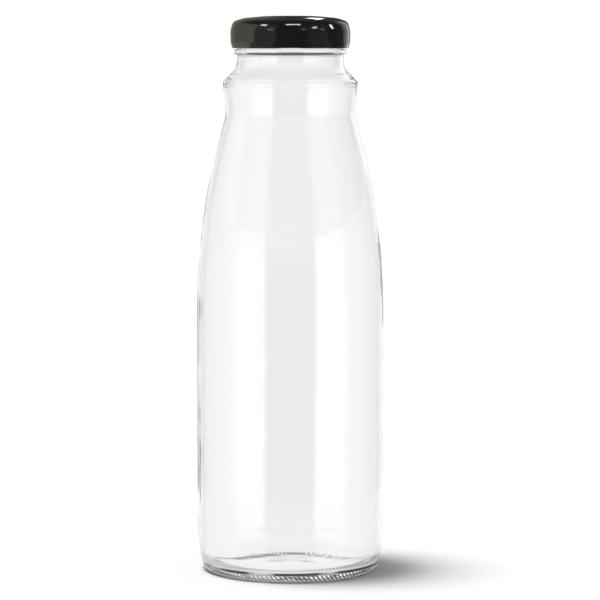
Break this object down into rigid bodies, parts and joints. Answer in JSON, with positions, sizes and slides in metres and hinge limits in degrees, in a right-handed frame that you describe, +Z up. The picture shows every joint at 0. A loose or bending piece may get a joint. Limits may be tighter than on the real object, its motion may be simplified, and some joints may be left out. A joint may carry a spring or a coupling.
{
  "type": "glass milk bottle with twist-off cap",
  "caption": "Clear glass milk bottle with a long sloping shoulder, collar ring, flared neck, lug threads and a black tinplate twist-off cap.",
  "frame": {"origin": "centre of the foot, on the surface that the bottle stands on", "axes": "+Z up along the bottle's axis; +X through the middle of one lug of the closed cap"},
  "size_m": [0.071, 0.071, 0.21],
  "materials": {
    "bottle_glass": "polished",
    "cap_lacquer": "gloss",
    "seal_plastisol": "matte"
  },
  "bodies": {
    "bottle": {"glass_bottle": "bottle_glass"},
    "seal": {"sealing_gasket": "seal_plastisol"},
    "cap": {"cap_shell": "cap_lacquer"}
  },
  "joints": [
    {"name": "cap_lift", "type": "slide", "parent": "bottle", "child": "seal", "axis": [0, 0, 1], "range_m": [0, 0.0301]},
    {"name": "cap_twist", "type": "hinge", "parent": "seal", "child": "cap", "pos_m": [0, 0, 0], "axis": [0, 0, 1], "range_deg": [0, 720]}
  ],
  "couplings": [
    {"joint": "cap_lift", "follows": "cap_twist", "m_per_rad": 0.0023873}
  ]
}
